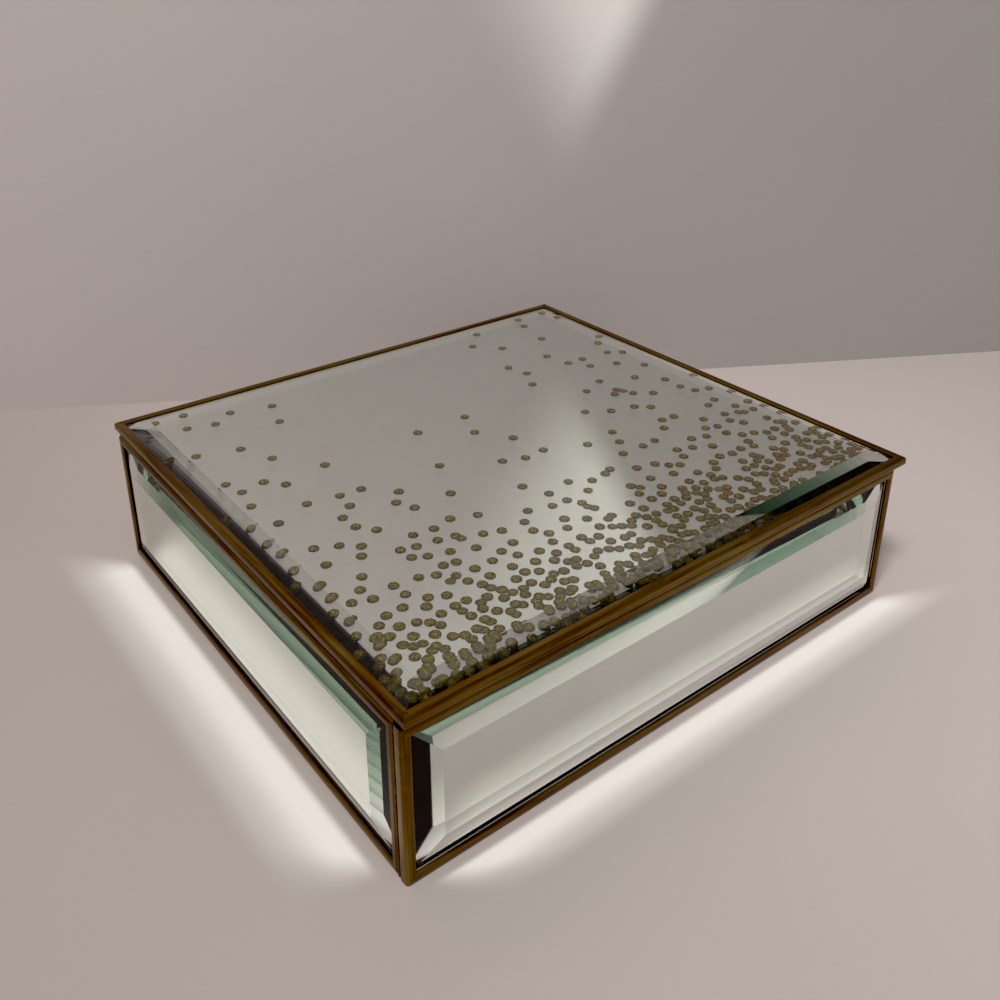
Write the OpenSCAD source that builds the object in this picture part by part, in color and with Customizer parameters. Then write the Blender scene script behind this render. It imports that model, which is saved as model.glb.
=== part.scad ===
// Hinged keepsake box of bevelled mirror glass, each pane in its own frame of round came.
// The origin is the centre of the underside. +X runs right along the front, +Y to the back, +Z up.

/* [Base] */
// Width of the base across its front, over the came
box_w = 245; // [200:1:300]
// Depth of the base from front to back, over the came
box_d = 229; // [180:1:280]
// Height of the base, from the table to the top of its came
box_h = 61.4; // [50:0.1:90]

/* [Lid] */
// How far the lid stands out past each side of the base, when it is centred
lid_side_over = 2.5; // [2:0.5:4]
// How far the lid stands in front of the base
lid_front_over = 1; // [0:0.1:2]
// How far the lid reaches behind the base, over the hinge
lid_back_over = 4.5; // [4.2:0.1:6]
// How far the lid sits to the right, within the end play of its hinge
lid_shift = 3; // [0:0.5:3]
// Thickness of the lid's came
lid_t = 4.4; // [4.2:0.1:5]
// Gap between the base and the lid
lid_gap = 0.2; // [0.2:0.1:0.8]

/* [Came] */
// Reach of the came over the glass
came_w = 3.8; // [3.7:0.1:4.3]
// Thickness of the base's came, through the glass
came_t = 5; // [4.6:0.1:5.4]
// Thickness of a came lip
lip_t = 0.7; // [0.6:0.1:0.7]

/* [Glass] */
// Thickness of a pane inside its bevel
glass_t = 4.4; // [3.4:0.1:4.6]
// Thickness of a pane at its ground edge
edge_t = 1; // [0.8:0.1:1.1]
// Width of the ground bevel on the base's panes
bevel_w = 12; // [10.5:0.5:15]
// Width of the ground bevel on the lid's pane
lid_bevel_w = 10; // [10:0.5:15]
// Thickness of a mirror plate
mirror_t = 0.7; // [0.5:0.1:0.8]

/* [Glitter] */
// Diameter of a glitter dot
dot_d = 4; // [3:0.1:4.4]
// Seed of the scatter
dot_seed = 11; // [1:1:99]

/* [Hinge] */
// Outer diameter of the hinge tubes
tube_d = 3.2; // [2.8:0.1:3.2]
// Diameter of the hinge pin
pin_d = 1.8; // [1.4:0.1:1.8]
// Length of each tube on the base
base_tube_len = 50; // [30:1:60]
// Distance of each base tube's middle from the centre
base_tube_x = 80; // [75:1:90]

/* [Hidden] */
$fn = 48;

// Came: the rounded heart side, the finer rounding of the lips, and the floor of the channel
heart_r = 1.6;
lid_heart_r = 1.5;
lip_r = 1;
channel_floor = 1.6;
glass_inset = 1.7;

// Layers in a channel, from the inside: mirror plate, gap, pane
plate_clearance = 0.05;
base_slot = came_t - 2 * lip_t;
lid_slot = lid_t - 2 * lip_t;
silver_gap = 0.1;
glitter_gap = 0.3;
dot_t = 0.15;
base_mirror_z = -base_slot / 2 + plate_clearance;
lid_mirror_z = -lid_slot / 2 + plate_clearance;
base_pane_z = base_mirror_z + mirror_t + silver_gap;
lid_pane_z = lid_mirror_z + mirror_t + glitter_gap;

// The front frame runs the full width, the side frames run from it to the back, and the back frame
// stands between them, each a hair apart
corner_gap = 0.05;
corner_step = came_t + corner_gap;

// Lid frame
lid_w = box_w + 2 * lid_side_over;
lid_d = box_d + lid_front_over + lid_back_over;
lid_y = (lid_back_over - lid_front_over) / 2;
lid_z = box_h + lid_gap + lid_t / 2;
backing_t = 0.6;
backing_clearance = 0.2;

// Floor of the base: felt, board and lining
fit_gap = 0.1;
felt_t = 1;
felt_margin = 3;
board_t = 2.5;
lining_t = 3;
lining_margin = 1;
inner_w = box_w - 2 * came_t;
inner_d = box_d - 2 * came_t;

// Hinge: one axis behind the back top rail, under the lid's overhang
tube_r = tube_d / 2;
pin_r = pin_d / 2;
running_gap = 0.07;
soldered_gap = 0.02;
tube_gap = 0.3;
axis_y = box_d / 2 + tube_gap + tube_r;
axis_z = box_h + lid_gap - tube_gap - 0.1 - tube_r;
play_gap = 0.2;
lid_tube_len = 2 * (base_tube_x - base_tube_len / 2 - lid_shift - play_gap);
pin_stick_out = 2;
pin_len = 2 * base_tube_x + base_tube_len + 2 * pin_stick_out;
solder_len = 36;

// Each side: name, turn about Z, half the box's extent, frame width, the ends its two posts face, and
// how far the frame sits from the middle of its side
SIDES = [
    ["front", 0, box_d / 2, box_w, "left", "right", 0],
    ["right", 90, box_w / 2, box_d - corner_step, "front", "back", corner_step / 2],
    ["back", 180, box_d / 2, box_w - 2 * corner_step, "right", "left", 0],
    ["left", 270, box_w / 2, box_d - corner_step, "back", "front", -corner_step / 2]
];
LID_RAILS = ["front", "right", "back", "left"];
BASE_NODES = [
    "corner_solder",
    "base_board",
    "base_felt",
    "base_lining",
    "hinge_base_tubes",
    "hinge_base_solder"
];
LID_NODES = [
    "lid_pane",
    "glitter_dots",
    "lid_mirror",
    "lid_backing",
    "lid_corner_solder",
    "hinge_lid_tube",
    "hinge_lid_solder",
    "hinge_pin"
];

function side_parts(side) = [
    str(side[0], "_pane"),
    str(side[0], "_mirror"),
    str(side[0], "_top_rail"),
    str(side[0], "_bottom_rail"),
    str(side[0], "_frame_", side[4], "_post"),
    str(side[0], "_frame_", side[5], "_post")
];

// ---- Came ----

// Half of the came's outline: x is the reach over the glass, y goes through it
module came_half(t, round_r) {
    translate([round_r, t / 2 - round_r])
        circle(r = round_r);
    translate([came_w - lip_r, t / 2 - lip_r])
        circle(r = lip_r);
    square([came_w, t / 2 - round_r]);
    translate([round_r, 0])
        square([came_w - round_r, t / 2 - lip_r]);
    translate([round_r, 0])
        square([came_w - round_r - lip_r, t / 2]);
}

// Section of a came: a round-backed channel with two lips
module came_section(t, round_r, slot) {
    difference() {
        union() {
            came_half(t, round_r);
            mirror([0, 1, 0])
                came_half(t, round_r);
        }
        translate([channel_floor, -slot / 2])
            square([came_w, slot]);
    }
}

// One came bar along X, with its back on y = 0 and both ends mitred
module came_bar(length, t, round_r, slot) {
    mitre = came_w + 1;
    intersection() {
        rotate([90, 0, 90])
            linear_extrude(length, center = true)
                came_section(t, round_r, slot);
        linear_extrude(2 * t, center = true)
            polygon([
                [-length / 2, 0],
                [length / 2, 0],
                [length / 2 - mitre, mitre],
                [-length / 2 + mitre, mitre]
            ]);
    }
}

// One bar of a w by h frame that lies flat round the origin: turn 0 is the edge at -Y
module frame_bar(turn, w, h, t, round_r, slot) {
    across = turn % 180 == 0;
    rotate([0, 0, turn])
        translate([0, across ? -h / 2 : -w / 2, 0])
            came_bar(across ? w : h, t, round_r, slot);
}

// ---- Glass ----

// Outline across a pane: flat back, thin ground edges, bevels up to the full thickness
module pane_section(length, bevel) {
    polygon([
        [-length / 2, 0],
        [length / 2, 0],
        [length / 2, edge_t],
        [length / 2 - bevel, glass_t],
        [-length / 2 + bevel, glass_t],
        [-length / 2, edge_t]
    ]);
}

// Bevelled pane with its flat back on z = 0
module bevelled_pane(w, h, bevel) {
    intersection() {
        rotate([90, 0, 0])
            linear_extrude(h, center = true)
                pane_section(w, bevel);
        rotate([90, 0, 90])
            linear_extrude(w, center = true)
                pane_section(h, bevel);
    }
}

module plate(w, h, t) {
    translate([-w / 2, -h / 2, 0])
        cube([w, h, t]);
}

// ---- Base panels ----

// Stands a flat panel up in its side of the base, with its face outward
module on_side(side) {
    rotate([0, 0, side[1]])
        translate([side[6], -side[2] + came_t / 2, box_h / 2])
            rotate([90, 0, 0])
                children();
}

module side_pane(side) {
    color("honeydew", 0.4)
        on_side(side)
            translate([0, 0, base_pane_z])
                bevelled_pane(side[3] - 2 * glass_inset, box_h - 2 * glass_inset, bevel_w);
}

module side_mirror(side) {
    color("silver")
        on_side(side)
            translate([0, 0, base_mirror_z])
                plate(side[3] - 2 * glass_inset, box_h - 2 * glass_inset, mirror_t);
}

module side_bar(side, turn) {
    color("saddlebrown")
        on_side(side)
            frame_bar(turn, side[3], box_h, came_t, heart_r, base_slot);
}

// ---- Base ----

// Section of a post, with its back on the line x = 0 and its outer face on y = 0
module post_section() {
    translate([0, came_t / 2])
        came_section(came_t, heart_r, base_slot);
}

// Solder in the groove where one frame butts against another, with a lobe at each end. The corner is
// the origin: the frame that runs past lies along X, and the one that butts against it along Y.
module corner_seam() {
    seam_r = 0.7;
    lobe_r = 0.85;
    lobe_x = 0.85;
    lobe_rise = 0.1;
    groove = came_t + corner_gap / 2;
    difference() {
        union() {
            translate([seam_r, groove, 0.8])
                cylinder(r = seam_r, h = box_h - 1.6);
            translate([lobe_x, groove, lobe_r])
                sphere(r = lobe_r);
            translate([lobe_x, groove, box_h + lobe_rise - lobe_r])
                sphere(r = lobe_r);
        }
        translate([0, 0, -1])
            linear_extrude(box_h + 2)
                post_section();
        mirror([1, -1, 0])
            translate([corner_step, 0, -1])
                linear_extrude(box_h + 2)
                    post_section();
    }
}

module corner_solder() {
    color("peru")
        for (x_side = [0, 1])
            mirror([x_side, 0, 0]) {
                translate([-box_w / 2, -box_d / 2, 0])
                    corner_seam();
                translate([-box_w / 2, box_d / 2, 0])
                    rotate([0, 0, -90])
                        corner_seam();
            }
}

module base_board() {
    color("dimgray")
        translate([0, 0, felt_t])
            plate(inner_w - 2 * fit_gap, inner_d - 2 * fit_gap, board_t);
}

module base_felt() {
    color("black")
        plate(inner_w - 2 * felt_margin, inner_d - 2 * felt_margin, felt_t);
}

module base_lining() {
    color("darkslategray")
        translate([0, 0, felt_t + board_t])
            plate(inner_w - 2 * lining_margin, inner_d - 2 * lining_margin, lining_t);
}

// ---- Lid ----

module on_lid() {
    translate([lid_shift, lid_y, lid_z])
        children();
}

module lid_bar(turn) {
    color("saddlebrown")
        on_lid()
            frame_bar(turn, lid_w, lid_d, lid_t, lid_heart_r, lid_slot);
}

module lid_pane() {
    color("honeydew", 0.4)
        on_lid()
            translate([0, 0, lid_pane_z])
                bevelled_pane(lid_w - 2 * glass_inset, lid_d - 2 * glass_inset, lid_bevel_w);
}

module lid_mirror() {
    color("silver")
        on_lid()
            translate([0, 0, lid_mirror_z])
                plate(lid_w - 2 * glass_inset, lid_d - 2 * glass_inset, mirror_t);
}

module lid_backing() {
    color("black")
        on_lid()
            translate([0, 0, lid_mirror_z - backing_t])
                plate(
                    lid_w - 2 * (came_w + backing_clearance),
                    lid_d - 2 * (came_w + backing_clearance),
                    backing_t
                );
}

// Chance of a dot at u across from the left and v back from the front, both 0 to 1
function dot_chance(u, v) =
    0.95 * exp(-v / 0.12) * (0.7 + 0.3 * u)
    + 0.45 * exp(-(1 - u) / 0.12) * exp(-v / 0.45)
    + 0.22 * exp(-u / 0.3) * exp(-v / 0.6)
    + 0.03;

// Dots on a jittered grid, so that no two of them touch
module glitter_dots() {
    pitch = dot_d * 1.7;
    jitter = (pitch - dot_d) / 2 - 0.1;
    field_w = lid_w - 2 * came_w - dot_d;
    field_d = lid_d - 2 * came_w - dot_d;
    columns = floor(field_w / pitch);
    rows = floor(field_d / pitch);
    count = columns * rows;
    draws = rands(0, 1, count, dot_seed);
    shift_x = rands(-jitter, jitter, count, dot_seed + 1);
    shift_y = rands(-jitter, jitter, count, dot_seed + 2);
    color("darkgoldenrod")
        on_lid()
            for (row = [0 : rows - 1])
                for (column = [0 : columns - 1]) {
                    i = row * columns + column;
                    u = (column + 0.5) / columns;
                    v = (row + 0.5) / rows;
                    if (draws[i] < dot_chance(u, v))
                        translate([
                            (u - 0.5) * field_w + shift_x[i],
                            (v - 0.5) * field_d + shift_y[i],
                            lid_mirror_z + mirror_t
                        ])
                            cylinder(d = dot_d, h = dot_t);
                }
}

// A low cap of solder over each mitre of the lid
module lid_corner_solder() {
    cap_foot_r = 0.85;
    cap_top_r = 0.5;
    cap_h = 0.3;
    corner_in = (lid_heart_r + came_w - lip_r) / 2;
    color("peru")
        on_lid()
            for (x_side = [-1, 1])
                for (y_side = [-1, 1])
                    translate([
                        x_side * (lid_w / 2 - corner_in),
                        y_side * (lid_d / 2 - corner_in),
                        lid_t / 2
                    ])
                        cylinder(r1 = cap_foot_r, r2 = cap_top_r, h = cap_h);
}

// ---- Hinge ----

// A bar along X, centred on the hinge axis
module on_axis(x, length, r) {
    translate([x, axis_y, axis_z])
        rotate([0, 90, 0])
            cylinder(r = r, h = length, center = true);
}

module hinge_tube(x, length, bore_r) {
    difference() {
        on_axis(x, length, tube_r);
        on_axis(x, length + 1, bore_r);
    }
}

module hinge_base_tubes() {
    color("goldenrod")
        for (x_side = [-1, 1])
            hinge_tube(x_side * base_tube_x, base_tube_len, pin_r + running_gap);
}

module hinge_lid_tube() {
    color("goldenrod")
        hinge_tube(lid_shift, lid_tube_len, pin_r + soldered_gap);
}

module hinge_pin() {
    color("gold")
        on_axis(lid_shift, pin_len, pin_r);
}

// Solder between the back top rail and each base tube
module hinge_base_solder() {
    height = 1.6;
    color("peru")
        for (x_side = [-1, 1])
            difference() {
                translate([x_side * base_tube_x - solder_len / 2, box_d / 2, axis_z - height])
                    cube([solder_len, tube_gap + tube_r / 2, height]);
                on_axis(x_side * base_tube_x, solder_len + 1, tube_r);
            }
}

// Solder between the lid's back rail and the lid tube
module hinge_lid_solder() {
    width = 1.2;
    color("peru")
        difference() {
            translate([lid_shift - solder_len, axis_y - width / 2, axis_z])
                cube([2 * solder_len, width, box_h + lid_gap - axis_z]);
            on_axis(lid_shift, 2 * solder_len + 1, tube_r);
        }
}

// ---- Nodes ----

for (side = SIDES) {
    names = side_parts(side);
    side_pane(side);
    side_mirror(side);
    side_bar(side, 180);
    side_bar(side, 0);
    side_bar(side, 270);
    side_bar(side, 90);
}
for (i = [0 : 3]) {
    lid_bar(90 * i);
}
corner_solder();
base_board();
base_felt();
base_lining();
hinge_base_tubes();
hinge_base_solder();
lid_pane();
glitter_dots();
lid_mirror();
lid_backing();
lid_corner_solder();
hinge_lid_tube();
hinge_lid_solder();
hinge_pin();
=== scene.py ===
"""Looks for the mirror-glass trinket box: real glass over silver, patinated came, glitter, velvet."""
import math
import random

import bmesh
import bpy
from mathutils import Matrix, Vector, noise


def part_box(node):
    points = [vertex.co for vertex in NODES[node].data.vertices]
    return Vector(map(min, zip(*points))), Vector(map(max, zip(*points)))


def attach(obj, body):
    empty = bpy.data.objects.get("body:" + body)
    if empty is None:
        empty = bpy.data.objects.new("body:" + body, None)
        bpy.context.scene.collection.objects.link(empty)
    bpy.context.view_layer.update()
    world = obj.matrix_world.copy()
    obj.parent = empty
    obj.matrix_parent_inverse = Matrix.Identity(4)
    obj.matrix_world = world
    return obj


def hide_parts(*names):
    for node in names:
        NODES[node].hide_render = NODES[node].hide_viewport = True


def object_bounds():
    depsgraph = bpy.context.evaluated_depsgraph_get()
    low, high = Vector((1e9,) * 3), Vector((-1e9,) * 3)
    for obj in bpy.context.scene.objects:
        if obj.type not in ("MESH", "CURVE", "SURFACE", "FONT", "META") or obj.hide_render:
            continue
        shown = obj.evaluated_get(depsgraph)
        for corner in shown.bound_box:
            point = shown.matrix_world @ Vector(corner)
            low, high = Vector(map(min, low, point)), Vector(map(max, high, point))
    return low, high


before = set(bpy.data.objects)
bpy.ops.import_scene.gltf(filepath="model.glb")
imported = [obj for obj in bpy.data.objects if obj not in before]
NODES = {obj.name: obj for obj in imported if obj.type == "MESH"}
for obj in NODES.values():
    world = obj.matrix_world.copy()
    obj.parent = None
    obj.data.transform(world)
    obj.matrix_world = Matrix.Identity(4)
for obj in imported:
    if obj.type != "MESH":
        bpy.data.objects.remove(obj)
cad_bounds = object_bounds()
SIDES = {"front": (0, -1), "right": (1, 0), "back": (0, 1), "left": (-1, 0)}
MM = 0.001


# ---- Node helpers ----

class Shader:
    """A material's node tree, with short calls that make nodes and link them."""

    def __init__(self, name):
        self.material = bpy.data.materials.new(name)
        self.material.use_nodes = True
        self.tree = self.material.node_tree
        self.tree.nodes.clear()
        self.output = self.add("ShaderNodeOutputMaterial")
        self.coordinates = self.add("ShaderNodeTexCoord")

    def add(self, kind, inputs=None, **settings):
        made = self.tree.nodes.new(kind)
        for key, value in settings.items():
            setattr(made, key, value)
        for key, value in (inputs or {}).items():
            self.put(made.inputs[key], value)
        return made

    def put(self, socket, value):
        """Links a socket to an output, or sets its value."""
        if isinstance(value, bpy.types.NodeSocket):
            self.tree.links.new(value, socket)
        else:
            socket.default_value = value

    def place(self, scale):
        """The row frame's own coordinates, stretched by scale along each axis."""
        mapping = self.add("ShaderNodeMapping", {
            "Vector": self.coordinates.outputs["Object"],
            "Scale": scale,
        })
        return mapping.outputs["Vector"]

    def noise(self, vector, scale, detail=4.0, roughness=0.55, distortion=0.0):
        made = self.add("ShaderNodeTexNoise", {
            "Vector": vector,
            "Scale": scale,
            "Detail": detail,
            "Roughness": roughness,
            "Distortion": distortion,
        })
        return made.outputs["Fac"]

    def ramp(self, factor, stops):
        """A colour ramp; stops are (place, colour) pairs."""
        made = self.add("ShaderNodeValToRGB", {"Fac": factor})
        elements = made.color_ramp.elements
        while len(elements) < len(stops):
            elements.new(0.5)
        for element, (place, colour) in zip(elements, stops):
            element.position = place
            element.color = (*colour, 1.0)
        return made.outputs["Color"]

    def span(self, factor, low, high, to_low, to_high):
        made = self.add("ShaderNodeMapRange", {
            "Value": factor,
            "From Min": low,
            "From Max": high,
            "To Min": to_low,
            "To Max": to_high,
        })
        return made.outputs["Result"]

    def mix(self, factor, a, b, blend="MIX"):
        made = self.add("ShaderNodeMix", data_type="RGBA", blend_type=blend)
        self.put(made.inputs[0], factor)
        self.put(made.inputs[6], a)
        self.put(made.inputs[7], b)
        return made.outputs[2]

    def math(self, operation, a, b=0.0):
        made = self.add("ShaderNodeMath", {0: a, 1: b}, operation=operation)
        return made.outputs[0]

    def along(self, direction, offset=0.0):
        """How far a point lies along direction, past offset."""
        made = self.add("ShaderNodeVectorMath", {
            0: self.coordinates.outputs["Object"],
            1: tuple(direction),
        }, operation="DOT_PRODUCT")
        return self.math("SUBTRACT", made.outputs["Value"], offset)

    def fade(self, value, start, end):
        """0 at start and 1 at end, eased."""
        made = self.add("ShaderNodeMapRange", {
            "Value": value,
            "From Min": start,
            "From Max": end,
        }, interpolation_type="SMOOTHSTEP")
        return made.outputs["Result"]

    def product(self, *factors):
        result = factors[0]
        for factor in factors[1:]:
            result = self.math("MULTIPLY", result, factor)
        return result

    def bump(self, height, distance, strength=1.0):
        made = self.add("ShaderNodeBump", {"Height": height, "Distance": distance, "Strength": strength})
        return made.outputs["Normal"]

    def principled(self, inputs):
        made = self.add("ShaderNodeBsdfPrincipled", inputs)
        self.put(self.output.inputs["Surface"], made.outputs["BSDF"])
        return made


# ---- Materials ----

def came_material(name, along):
    """Patinated came: olive and brown bands that run along the bar. along is 0, 1 or 2 for X, Y or Z."""
    s = Shader(name)
    long_way = [1.0, 1.0, 1.0]
    long_way[along] = 0.045
    soft_way = [1.0, 1.0, 1.0]
    soft_way[along] = 0.35
    bands = s.noise(s.place(long_way), 520.0, 3.0, 0.5)
    clouds = s.noise(s.place(soft_way), 75.0, 3.0, 0.5, 0.3)
    tint = s.ramp(bands, [
        (0.32, (0.074, 0.036, 0.012)),
        (0.46, (0.146, 0.082, 0.024)),
        (0.58, (0.208, 0.136, 0.038)),
        (0.74, (0.268, 0.188, 0.060)),
    ])
    warm = s.mix(s.span(clouds, 0.42, 0.68, 0.0, 0.65), tint, (0.156, 0.072, 0.022, 1.0))
    rubbed = s.noise(s.place((1, 1, 1)), 240.0, 3.0, 0.5)
    colour = s.mix(s.span(rubbed, 0.60, 0.80, 0.0, 0.35), warm, (0.300, 0.205, 0.050, 1.0))
    grain = s.noise(s.place(long_way), 2400.0, 2.0, 0.5)
    s.principled({
        "Base Color": colour,
        "Metallic": 1.0,
        "Roughness": s.span(clouds, 0.3, 0.8, 0.26, 0.40),
        "Coat Weight": 0.12,
        "Coat Roughness": 0.30,
        "Normal": s.bump(s.mix(0.3, bands, grain), 0.00010, 0.5),
    })
    return s.material


def solder_material():
    """Red-brown patina on hand-run solder."""
    s = Shader("solder_patina")
    clouds = s.noise(s.place((1, 1, 1)), 260.0, 4.0, 0.55, 0.5)
    tint = s.ramp(clouds, [
        (0.30, (0.070, 0.026, 0.003)),
        (0.52, (0.115, 0.052, 0.006)),
        (0.74, (0.190, 0.110, 0.018)),
    ])
    s.principled({
        "Base Color": tint,
        "Metallic": 1.0,
        "Roughness": s.span(clouds, 0.3, 0.8, 0.32, 0.48),
        "Normal": s.bump(clouds, 0.0002, 0.5),
    })
    return s.material


def hinge_material():
    s = Shader("hinge_brass")
    streaks = s.noise(s.place((0.15, 1, 1)), 700.0, 4.0, 0.6)
    tint = s.ramp(streaks, [(0.30, (0.16, 0.085, 0.028)), (0.70, (0.46, 0.30, 0.11))])
    s.principled({
        "Base Color": tint,
        "Metallic": 1.0,
        "Roughness": s.span(streaks, 0.3, 0.7, 0.28, 0.45),
        "Normal": s.bump(streaks, 0.0001, 0.4),
    })
    return s.material


def glass_material():
    """Clear float glass with its faint green: seen most where light runs inside the pane."""
    s = Shader("bevelled_glass")
    s.principled({
        "Base Color": (1.0, 1.0, 1.0, 1.0),
        "Transmission Weight": 1.0,
        "Roughness": 0.0,
        "IOR": 1.52,
    })
    absorption = s.add("ShaderNodeVolumeAbsorption", {"Color": (0.24, 0.46, 0.32, 1.0), "Density": 26.0})
    s.put(s.output.inputs["Volume"], absorption.outputs["Volume"])
    return s.material


def silver_material():
    s = Shader("silvering")
    haze = s.noise(s.place((1, 1, 1)), 60.0, 4.0, 0.6)
    s.principled({
        "Base Color": s.ramp(haze, [(0.35, (0.955, 0.955, 0.93)), (0.65, (0.975, 0.975, 0.95))]),
        "Metallic": 1.0,
        "Roughness": s.span(haze, 0.3, 0.7, 0.006, 0.012),
    })
    return s.material


def paint_material():
    """The grey protective paint on the back of a mirror."""
    s = Shader("mirror_back_paint")
    clouds = s.noise(s.place((1, 1, 1)), 160.0, 5.0, 0.6)
    s.principled({
        "Base Color": s.ramp(clouds, [(0.3, (0.055, 0.058, 0.062)), (0.7, (0.085, 0.088, 0.092))]),
        "Roughness": s.span(clouds, 0.3, 0.7, 0.45, 0.65),
        "Normal": s.bump(clouds, 0.00008, 0.5),
    })
    return s.material


def glitter_material():
    """Glitter film: a mosaic of tiny metallic facets in pale gold, with painted shade that turns the rim of each
    dot olive-brown.
    """
    s = Shader("gold_glitter")
    facets = s.add("ShaderNodeTexVoronoi", {
        "Vector": s.coordinates.outputs["Object"],
        "Scale": 2400.0,
        "Randomness": 1.0,
    })
    cell = s.add("ShaderNodeSeparateColor", {"Color": facets.outputs["Color"]})
    tint = s.ramp(cell.outputs[0], [
        (0.00, (0.105, 0.076, 0.006)),
        (0.35, (0.250, 0.190, 0.020)),
        (0.70, (0.440, 0.345, 0.055)),
        (1.00, (0.950, 0.760, 0.210)),
    ])
    rim = s.add("ShaderNodeAttribute", attribute_name="rim")
    # Painted shade: each dot darkens towards its rim.
    painted_rim_shade = s.ramp(rim.outputs["Fac"], [(0.45, (1.0, 1.0, 1.0)), (0.95, (0.42, 0.40, 0.34))])
    # The dots turn brighter and more golden towards +X.
    golder_to_right = s.mix(s.fade(s.along((1, 0, 0)), -0.04, 0.11), tint, (1.35, 1.05, 0.55, 1.0), "MULTIPLY")
    centred = s.add("ShaderNodeVectorMath", {0: facets.outputs["Color"], 1: (0.5, 0.5, 0.5)}, operation="SUBTRACT")
    tilted = s.add("ShaderNodeVectorMath", {0: centred.outputs[0]}, operation="SCALE")
    tilted.inputs["Scale"].default_value = 0.9
    geometry = s.add("ShaderNodeNewGeometry")
    leaned = s.add("ShaderNodeVectorMath", {0: geometry.outputs["Normal"], 1: tilted.outputs[0]}, operation="ADD")
    normal = s.add("ShaderNodeVectorMath", {0: leaned.outputs[0]}, operation="NORMALIZE")
    s.principled({
        "Base Color": s.mix(1.0, golder_to_right, painted_rim_shade, "MULTIPLY"),
        "Metallic": 0.9,
        "Roughness": 0.38,
        "Normal": normal.outputs[0],
    })
    return s.material


def velvet_material(name, colour, pile_scale):
    """Short pile: dark face, soft sheen, and the brushed patches that velvet keeps."""
    s = Shader(name)
    brushed = s.noise(s.place((1, 1, 1)), 22.0, 3.0, 0.55, 0.8)
    pile = s.noise(s.place((1, 1, 1)), pile_scale, 2.0, 0.6)
    light = tuple(min(1.0, channel * 1.9 + 0.004) for channel in colour)
    s.principled({
        "Base Color": s.ramp(s.mix(0.35, brushed, pile), [(0.38, colour), (0.66, light)]),
        "Roughness": 0.95,
        "Sheen Weight": 0.8,
        "Sheen Roughness": 0.35,
        "Sheen Tint": (0.55, 0.55, 0.60, 1.0),
        "Normal": s.bump(pile, 0.0004, 0.8),
    })
    return s.material


def board_material():
    s = Shader("fibreboard")
    fibres = s.noise(s.place((1, 1, 1)), 900.0, 6.0, 0.7)
    s.principled({
        "Base Color": s.ramp(fibres, [(0.3, (0.20, 0.13, 0.08)), (0.7, (0.36, 0.26, 0.17))]),
        "Roughness": 0.85,
        "Normal": s.bump(fibres, 0.0003, 0.6),
    })
    return s.material


CAME = [came_material(f"came_patina_{axis}", i) for i, axis in enumerate("xyz")]
SOLDER = solder_material()
HINGE = hinge_material()
GLASS = glass_material()
SILVER = silver_material()
PAINT = paint_material()
GLITTER = glitter_material()
LINING = velvet_material("black_velvet", (0.012, 0.012, 0.014), 1500.0)
FLOCK = velvet_material("black_flock", (0.010, 0.010, 0.012), 2400.0)
FELT = velvet_material("black_felt", (0.014, 0.014, 0.015), 900.0)
BOARD = board_material()


def dress(node, *materials):
    """Gives a CAD node its materials, in the order of their indices."""
    slots = NODES[node].data.materials
    slots.clear()
    for made in materials:
        slots.append(made)
    return NODES[node]


def dress_mirror(node, outward):
    """Silver on the side that faces outward, paint on the back and the edges."""
    piece = dress(node, SILVER, PAINT)
    for face in piece.data.polygons:
        face.material_index = 0 if face.normal.dot(Vector(outward)) > 0.5 else 1


for side, (x, y) in SIDES.items():
    dress(f"{side}_pane", GLASS)
    dress_mirror(f"{side}_mirror", (x, y, 0))
for name in NODES:
    if name.endswith("_rail"):
        runs_along_x = "front" in name or "back" in name
        dress(name, CAME[0 if runs_along_x else 1])
    elif name.endswith("_post"):
        dress(name, CAME[2])
    elif name.endswith("_solder"):
        dress(name, SOLDER)
    elif name.startswith("hinge_"):
        dress(name, HINGE)
for name in ("hinge_base_solder", "hinge_lid_solder"):
    dress(name, SOLDER)
dress("lid_pane", GLASS)
dress_mirror("lid_mirror", (0, 0, 1))
dress("base_board", BOARD)
dress("base_felt", FELT)
dress("lid_backing", FLOCK)
dress("base_lining", LINING)


# ---- Glitter dots ----

DOT_R = 2.0 * MM
DOT_T = 0.10 * MM
DOT_LAYER = 0.11 * MM
DOT_PANE_GAP = 0.02 * MM
DOT_MARGIN = 2.6 * MM
DOT_TRIES = 9000
DOT_CORNERS = 28
DOT_PAIRED = 0.12
DOT_RINGS = ((1.00, 0.00), (0.97, 0.45), (0.86, 0.78), (0.62, 0.95), (0.30, 1.00))


def dot_rate(x, y, u, v):
    """How thick the scatter is, from 0 to 1. x and y are metres from the front left, u and v shares."""
    front = math.exp(-y / 0.030)
    open_middle = math.hypot((u - 0.50) / 0.27, (v - 0.72) / 0.47)
    clear = min(1.0, max(0.0, (open_middle - 0.88) / 0.34))
    sides = 0.050 * clear * (1.35 - 0.85 * v)
    corner = 0.30 * math.exp(-y / 0.050) * math.exp(-(1 - u) / 0.16)
    return min(1.0, front * (0.32 + 0.68 * clear) + sides + corner)


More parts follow.
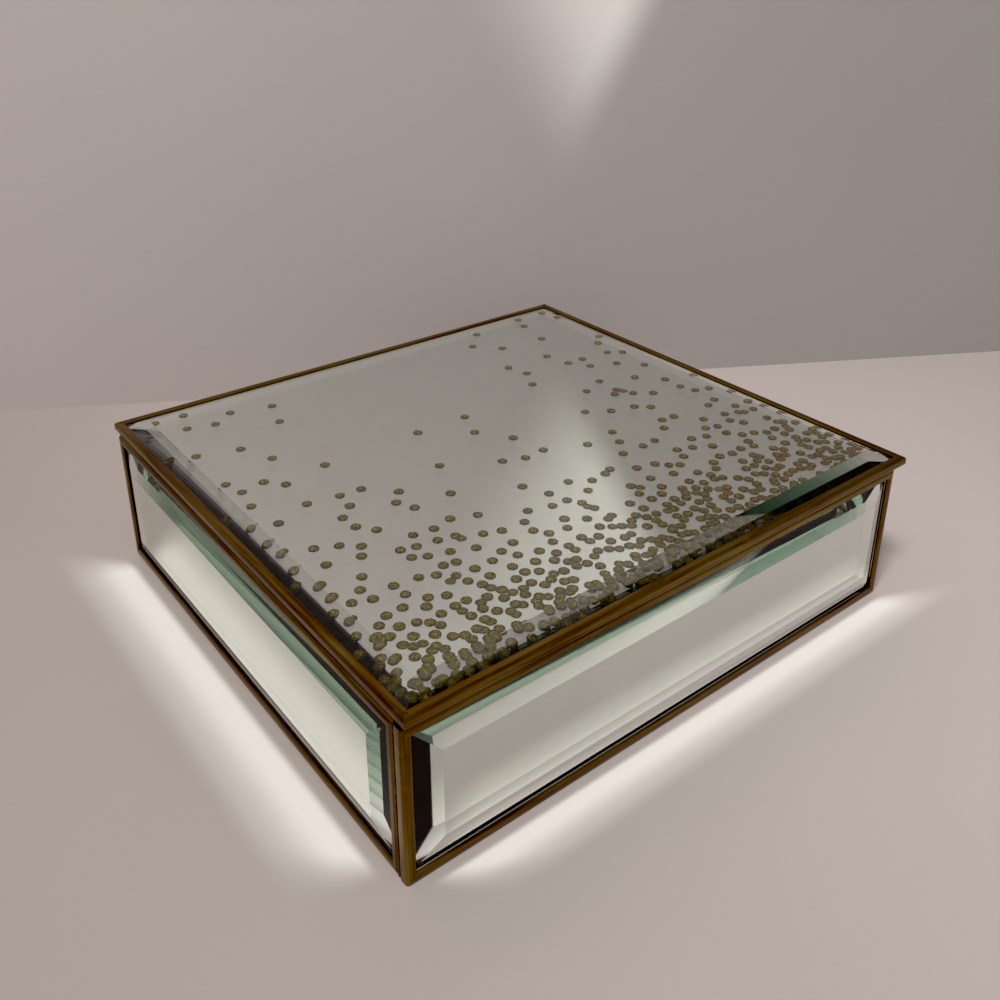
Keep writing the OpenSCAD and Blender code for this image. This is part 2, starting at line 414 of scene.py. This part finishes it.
def scatter_dots():
    """Loose dots against the underside of the glass, two deep where they crowd."""
    low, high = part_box("lid_pane")
    edge = DOT_R + DOT_MARGIN
    rng = random.Random(5)
    placed = []
    for _ in range(DOT_TRIES):
        u = rng.random()
        v = rng.random()
        chance = rng.random()
        size = DOT_R * rng.uniform(0.95, 1.04)
        turn = rng.uniform(0, math.tau)
        paired = rng.random() < DOT_PAIRED
        x = low.x + edge + u * (high.x - low.x - 2 * edge)
        y = low.y + edge + v * (high.y - low.y - 2 * edge)
        rate = dot_rate(x - low.x - edge, y - low.y - edge, u, v)
        if chance > rate:
            continue
        closeness = 0.62 if paired else 1.04 + 1.5 * (1 - rate) ** 5
        if v < 0.07:
            closeness = min(closeness, 0.50)
        elif v < 0.14:
            closeness = min(closeness, 0.80)
        near = [(math.hypot(x - d[0], y - d[1]), d) for d in placed]
        if any(gap < closeness * 2 * DOT_R for gap, _ in near):
            continue
        under = [d[2] for gap, d in near if gap < size + d[3]]
        level = next((k for k in (0, 1) if k not in under), None)
        if level is not None:
            placed.append((x, y, level, size, turn))
    return placed, low.z


def build_dots():
    placed, glass_z = scatter_dots()
    mesh = bpy.data.meshes.new("glitter_scatter")
    bm = bmesh.new()
    rim = bm.verts.layers.float.new("rim")
    for x, y, level, size, turn in placed:
        z = glass_z - DOT_PANE_GAP - DOT_T - level * DOT_LAYER
        rings = []
        for share, height in DOT_RINGS:
            ring = []
            for i in range(DOT_CORNERS):
                angle = i * math.tau / DOT_CORNERS
                uneven = 1 + 0.022 * math.sin(3 * angle + turn * 5) + 0.014 * math.sin(7 * angle + turn * 9)
                radius = size * share * uneven
                vert = bm.verts.new((
                    x + radius * math.cos(turn + angle),
                    y + radius * math.sin(turn + angle),
                    z + height * DOT_T,
                ))
                vert[rim] = share
                ring.append(vert)
            rings.append(ring)
        for lower, upper in zip(rings, rings[1:]):
            for i in range(DOT_CORNERS):
                j = (i + 1) % DOT_CORNERS
                bm.faces.new((lower[i], lower[j], upper[j], upper[i]))
        bm.faces.new(rings[-1])
        bm.faces.new(reversed(rings[0]))
    bm.to_mesh(mesh)
    bm.free()
    piece = bpy.data.objects.new("glitter_scatter", mesh)
    bpy.context.collection.objects.link(piece)
    mesh.materials.append(GLITTER)
    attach(piece, "lid")
    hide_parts("glitter_dots")


build_dots()


# ---- Solder ----

def melted(node, body, voxel, swell, wave):
    """Hand-run solder in a node's place: its solid remeshed, rounded off and given an uneven skin."""
    mesh = NODES[node].data.copy()
    rough = bpy.data.objects.new(f"{node}_rough", mesh)
    bpy.context.collection.objects.link(rough)
    remesh = rough.modifiers.new("remesh", "REMESH")
    remesh.mode = "VOXEL"
    remesh.voxel_size = voxel
    smooth = rough.modifiers.new("smooth", "SMOOTH")
    smooth.factor = 0.5
    smooth.iterations = 6
    bpy.context.view_layer.update()
    made = bpy.data.meshes.new_from_object(rough.evaluated_get(bpy.context.evaluated_depsgraph_get()))
    bpy.data.objects.remove(rough)
    normals = [v.normal.copy() for v in made.vertices]
    for vertex, normal in zip(made.vertices, normals):
        lift = noise.fractal(vertex.co * wave, 1.0, 2.0, 3) + 0.35
        vertex.co += normal * swell * lift
    for face in made.polygons:
        face.use_smooth = True
    piece = bpy.data.objects.new(f"{node}_run", made)
    bpy.context.collection.objects.link(piece)
    made.materials.clear()
    made.materials.append(SOLDER)
    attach(piece, body)
    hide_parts(node)


melted("corner_solder", "base", 0.25 * MM, 0.13 * MM, 420)
melted("lid_corner_solder", "lid", 0.20 * MM, 0.10 * MM, 520)
melted("hinge_base_solder", "base", 0.20 * MM, 0.06 * MM, 520)
melted("hinge_lid_solder", "lid", 0.20 * MM, 0.06 * MM, 520)


# ---- Soft pieces ----

def closed_grid(low, high, cell, place):
    """A closed mesh of a top grid, a bottom grid and a rim. place(u, v, top) gives each point."""
    across = max(8, round((high.x - low.x) / cell))
    along = max(8, round((high.y - low.y) / cell))
    points = []
    faces = []
    index = {}
    for top in (0, 1):
        for j in range(along + 1):
            for i in range(across + 1):
                index[top, i, j] = len(points)
                points.append(place(i / across, j / along, top))
    for j in range(along):
        for i in range(across):
            corners = ((i, j), (i + 1, j), (i + 1, j + 1), (i, j + 1))
            faces.append([index[1, a, b] for a, b in corners])
            faces.append([index[0, a, b] for a, b in reversed(corners)])
    for i in range(across):
        faces.append([index[0, i, 0], index[0, i + 1, 0], index[1, i + 1, 0], index[1, i, 0]])
        faces.append([index[0, i + 1, along], index[0, i, along], index[1, i, along], index[1, i + 1, along]])
    for j in range(along):
        faces.append([index[0, 0, j + 1], index[0, 0, j], index[1, 0, j], index[1, 0, j + 1]])
        faces.append([index[0, across, j], index[0, across, j + 1], index[1, across, j + 1], index[1, across, j]])
    return points, faces


def soft_object(name, points, faces, material):
    mesh = bpy.data.meshes.new(name)
    mesh.from_pydata(points, [], faces)
    mesh.materials.append(material)
    for face in mesh.polygons:
        face.use_smooth = True
    piece = bpy.data.objects.new(name, mesh)
    bpy.context.collection.objects.link(piece)
    return piece


def glued_sheet(node, name, body, material):
    """A hand-cut sheet in a node's place: slightly wandering edges, and a face that isn't dead flat."""
    low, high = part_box(node)
    thick = high.z - low.z
    cell = 3 * MM

    def place(u, v, top):
        x = low.x + u * (high.x - low.x)
        y = low.y + v * (high.y - low.y)
        edge = min(u, 1 - u) * (high.x - low.x), min(v, 1 - v) * (high.y - low.y)
        wander = 0.35 * MM * (0.5 + 0.5 * noise.noise(Vector((x * 60, y * 60, 3.0 + len(node)))))
        if edge[0] < 2 * cell:
            x += wander if u < 0.5 else -wander
        if edge[1] < 2 * cell:
            y += wander if v < 0.5 else -wander
        nap = 0.5 + 0.5 * noise.fractal(Vector((x * 90, y * 90, 7.0)), 1.0, 2.0, 3)
        worn = 0.30 * max(0.0, 1 - min(edge) / (2.5 * MM))
        shrink = thick * (0.05 + 0.10 * nap + worn)
        return (x, y, high.z - shrink if top else low.z + shrink)

    points, faces = closed_grid(low, high, cell, place)
    piece = soft_object(name, points, faces, material)
    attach(piece, body)
    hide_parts(node)


glued_sheet("base_felt", "felt_sheet", "base", FELT)
glued_sheet("lid_backing", "flock_sheet", "lid", FLOCK)


CLOTH_FRAMES = 20


def blow_up(piece, held, pressure):
    """Inflates a piece as cloth round the points that are held, and leaves a plain mesh."""
    group = piece.vertex_groups.new(name="held")
    group.add(held, 1.0, "REPLACE")
    cloth = piece.modifiers.new("cloth", "CLOTH")
    settings = cloth.settings
    settings.quality = 5
    settings.mass = 0.15
    settings.tension_stiffness = 12
    settings.compression_stiffness = 12
    settings.shear_stiffness = 6
    settings.bending_stiffness = 0.3
    settings.use_pressure = True
    settings.uniform_pressure_force = pressure
    settings.effector_weights.gravity = 0
    settings.vertex_group_mass = "held"
    cloth.collision_settings.use_collision = False
    cloth.point_cache.frame_start = 1
    cloth.point_cache.frame_end = CLOTH_FRAMES
    scene = bpy.context.scene
    for step in range(1, CLOTH_FRAMES + 1):
        scene.frame_set(step)
    blown = piece.evaluated_get(bpy.context.evaluated_depsgraph_get()).data
    result = [v.co.copy() for v in blown.vertices]
    piece.modifiers.clear()
    piece.vertex_groups.clear()
    scene.frame_set(1)
    return result


def build_lining():
    """The velvet pad on the floor of the box: wadding under cloth, pulled down round its edge."""
    low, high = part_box("base_lining")
    thick = high.z - low.z
    size = high - low
    inset = 0.8 * MM
    pull = 1.6 * MM
    cell = 3.5 * MM

    def place(u, v, top):
        bow_x = pull * (1 - (2 * v - 1) ** 2)
        bow_y = pull * (1 - (2 * u - 1) ** 2)
        x = low.x + inset + bow_x + u * (size.x - 2 * (inset + bow_x))
        y = low.y + inset + bow_y + v * (size.y - 2 * (inset + bow_y))
        edge = min(u * size.x, (1 - u) * size.x, v * size.y, (1 - v) * size.y)
        crown = thick * (0.34 + 0.26 * min(1.0, edge / (18 * MM)) ** 0.5)
        slack = 0.10 * MM * noise.noise(Vector((x * 160, y * 160, 1.0)))
        return (x, y, low.z + (crown + slack if top else 0.0))

    points, faces = closed_grid(low, high, cell, place)
    piece = soft_object("lining_pad", points, faces, LINING)
    half = len(points) // 2
    blown = blow_up(piece, list(range(half)), 4.0)
    ceiling = 0.97 * thick
    most_slide = 0.7 * MM
    for vertex, target in list(zip(piece.data.vertices, blown))[half:]:
        rest = vertex.co.copy()
        move = target - rest
        room = max(0.0, ceiling - (rest.z - low.z))
        rise = room * math.tanh(max(0.0, move.z) / max(room, 1e-6) * 0.6)
        slide = Vector((move.x, move.y, 0))
        if slide.length > most_slide:
            slide *= most_slide / slide.length
        vertex.co = rest + slide + Vector((0, 0, rise))
    finer = piece.modifiers.new("finer", "SUBSURF")
    finer.levels = 1
    finer.render_levels = 1
    bpy.context.view_layer.update()
    smooth = bpy.data.meshes.new_from_object(piece.evaluated_get(bpy.context.evaluated_depsgraph_get()))
    piece.modifiers.clear()
    piece.data = smooth
    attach(piece, "base")
    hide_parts("base_lining")


build_lining()


# ---- Stage ----

def sheet_object(name, corners):
    mesh = bpy.data.meshes.new(name)
    mesh.from_pydata(corners, [], [(0, 1, 2, 3)])
    piece = bpy.data.objects.new(name, mesh)
    bpy.context.collection.objects.link(piece)
    return piece


LAMP_FROM = Vector((-0.45, -0.30, 1.0))
BOUNCE = (1.0, 0.97, 0.90, 1.0)
FLOOR_SIZE = 3.0

# The backdrop stands a hand's width behind the box, turned to face the camera. It leans back, so that
# the open lid's corner stays in front of it.
WALL_DISTANCE = 0.205
WALL_NORMAL = Vector((-0.492, -0.870, 0)).normalized()
WALL_HALF = 2.0
WALL_HEIGHT = 2.2
WALL_LEAN = 0.175
wall_along = Vector((-WALL_NORMAL.y, WALL_NORMAL.x, 0))


def thrown_light(s, outward, along, half_length):
    """The light that a mirrored side throws on the floor: a strip whose ends lean with the lamp."""
    face = abs(Vector(outward).dot(Vector(cad_bounds[0])))
    height = s.math("DIVIDE", s.along(outward, face), Vector(outward).dot(LAMP_FROM))
    drift = -Vector(along).dot(LAMP_FROM)
    place = s.math("SUBTRACT", s.along(along), s.math("MULTIPLY", height, drift))
    from_end = s.math("SUBTRACT", half_length, s.math("ABSOLUTE", place))
    blur = s.math("ADD", s.math("MULTIPLY", height, 0.26), 0.004)
    ends = s.fade(s.math("DIVIDE", from_end, blur), -1.0, 1.0)
    strip = s.product(s.fade(height, 0.004, 0.012), s.fade(height, 0.074, 0.046), ends)
    core = s.product(s.fade(height, 0.006, 0.014), s.fade(height, 0.052, 0.022), ends)
    return s.math("ADD", s.math("MULTIPLY", strip, 0.16), s.math("MULTIPLY", core, 0.25))


def floor_material():
    s = Shader("pale_floor")
    mottle = s.noise(s.place((1, 1, 1)), 6.0, 3.0, 0.5)
    # Painted shade and light: the floor's colour is darker on the left and lighter on the right, standing in for
    # uneven light on a plain pale floor.
    left = s.ramp(mottle, [(0.3, (0.410, 0.356, 0.315)), (0.7, (0.428, 0.371, 0.329))])
    right = s.ramp(mottle, [(0.3, (0.672, 0.580, 0.542)), (0.7, (0.694, 0.602, 0.560))])
    side = s.fade(s.along((1, 0, 0)), -0.30, 0.22)
    light = s.math(
        "ADD",
        thrown_light(s, (-1, 0, 0), (0, 1, 0), 0.104),
        thrown_light(s, (0, -1, 0), (1, 0, 0), 0.115),
    )
    s.principled({
        "Base Color": s.mix(side, left, right),
        "Roughness": 0.32,
        "Specular IOR Level": 0.35,
        "Emission Color": BOUNCE,
        "Emission Strength": light,
    })
    s.material.cycles.emission_sampling = "NONE"
    return s.material


def glow_from_lid(s):
    """The lamp's light that the lid throws up on the backdrop: a wedge that opens upward."""
    tip = Vector((0.166, 0.143, 0.135))
    left = Vector((0.855 * wall_along.x, 0.855 * wall_along.y, 0.519))
    right = Vector((-0.888 * wall_along.x, -0.888 * wall_along.y, 0.459))
    past_left = s.along(left, left.dot(tip))
    past_right = s.along(right, right.dot(tip))
    wedge = s.product(s.fade(past_left, -0.015, 0.075), s.fade(past_right, -0.012, 0.018))
    near_right = s.fade(past_right, 0.150, 0.0)
    return s.math("MULTIPLY", wedge, s.math("ADD", s.math("MULTIPLY", near_right, 0.22), 0.11))


def wall_material():
    """Matt backdrop that shows only its front, so it never hides the box from behind."""
    s = Shader("backdrop")
    mottle = s.noise(s.place((1, 1, 1)), 4.0, 3.0, 0.5)
    # Painted shade: the backdrop's colour is lighter on the left and darker on the right.
    left = s.ramp(mottle, [(0.3, (0.555, 0.480, 0.455)), (0.7, (0.580, 0.500, 0.475))])
    right = s.ramp(mottle, [(0.3, (0.400, 0.365, 0.335)), (0.7, (0.420, 0.385, 0.355))])
    face = s.add("ShaderNodeBsdfPrincipled", {
        "Base Color": s.mix(s.fade(s.along(wall_along), -0.35, 0.55), left, right),
        "Roughness": 0.8,
        "Emission Color": BOUNCE,
        "Emission Strength": glow_from_lid(s),
    })
    clear = s.add("ShaderNodeBsdfTransparent")
    geometry = s.add("ShaderNodeNewGeometry")
    choose = s.add("ShaderNodeMixShader", {0: geometry.outputs["Backfacing"]})
    s.put(choose.inputs[1], face.outputs[0])
    s.put(choose.inputs[2], clear.outputs[0])
    s.put(s.output.inputs["Surface"], choose.outputs[0])
    s.material.cycles.emission_sampling = "NONE"
    return s.material


floor = sheet_object("floor", [
    (-FLOOR_SIZE, -FLOOR_SIZE, 0),
    (FLOOR_SIZE, -FLOOR_SIZE, 0),
    (FLOOR_SIZE, FLOOR_SIZE, 0),
    (-FLOOR_SIZE, FLOOR_SIZE, 0),
])
floor.data.materials.append(floor_material())

wall_foot = -WALL_NORMAL * WALL_DISTANCE
wall_left = wall_foot + wall_along * WALL_HALF
wall_right = wall_foot - wall_along * WALL_HALF
up = Vector((0, 0, WALL_HEIGHT)) - WALL_NORMAL * WALL_LEAN
wall = sheet_object("backdrop", [wall_right, wall_left, wall_left + up, wall_right + up])
wall.data.materials.append(wall_material())
if wall.data.polygons[0].normal.dot(WALL_NORMAL) < 0:
    wall.data.flip_normals()


# ---- Light ----

LAMP_DISTANCE = 1.6
LAMP_SIDE = 0.30
LAMP_POWER = 14.5
lamp_data = bpy.data.lights.new("key_lamp", "AREA")
lamp_data.shape = "RECTANGLE"
lamp_data.size = LAMP_SIDE
lamp_data.size_y = LAMP_SIDE
lamp_data.energy = LAMP_POWER
lamp_data.color = (1.0, 1.0, 1.0)
lamp_data.spread = math.radians(180.0)
lamp = bpy.data.objects.new("key_lamp", lamp_data)
bpy.context.collection.objects.link(lamp)
lamp.location = LAMP_FROM.normalized() * LAMP_DISTANCE
lamp.rotation_mode = "QUATERNION"
lamp.rotation_quaternion = (-LAMP_FROM).to_track_quat("-Z", "Y")
lamp.visible_camera = False
lamp.visible_glossy = True
lamp.visible_transmission = True

world = bpy.data.worlds.new("studio")
bpy.context.scene.world = world
world.use_nodes = True
background = world.node_tree.nodes["Background"]
background.inputs["Color"].default_value = (0.86, 0.878, 0.905, 1.0)
background.inputs["Strength"].default_value = 0.40


# ---- Camera ----

camera_data = bpy.data.cameras.new("camera")
camera = bpy.data.objects.new("camera", camera_data)
bpy.context.collection.objects.link(camera)
bpy.context.scene.camera = camera
CAMERA_PLACE = Vector((-0.2396, -0.3100, 0.2736))
CAMERA_AIM = Vector((0.1583, 0.1905, 0.0))
CAMERA_ROLL = math.radians(0.29)
camera_data.sensor_width = 36.0
camera_data.lens = 37.17
camera_data.shift_x = -0.0088
camera_data.shift_y = -0.1434
camera_data.clip_start = 0.01
camera_data.clip_end = 20.0
camera.location = CAMERA_PLACE
camera.rotation_mode = "QUATERNION"
looking = (CAMERA_AIM - CAMERA_PLACE).to_track_quat("-Z", "Y")
camera.rotation_quaternion = looking @ Matrix.Rotation(CAMERA_ROLL, 3, "Z").to_quaternion()

scene = bpy.context.scene
scene.view_settings.view_transform = "Standard"
scene.view_settings.use_curve_mapping = True
scene.view_settings.curve_mapping.black_level = (0.018, 0.018, 0.017)
scene.cycles.max_bounces = 32
scene.cycles.transmission_bounces = 32
scene.cycles.glossy_bounces = 32
scene.cycles.diffuse_bounces = 4
scene.cycles.transparent_max_bounces = 16
scene.cycles.sample_clamp_indirect = 6.0
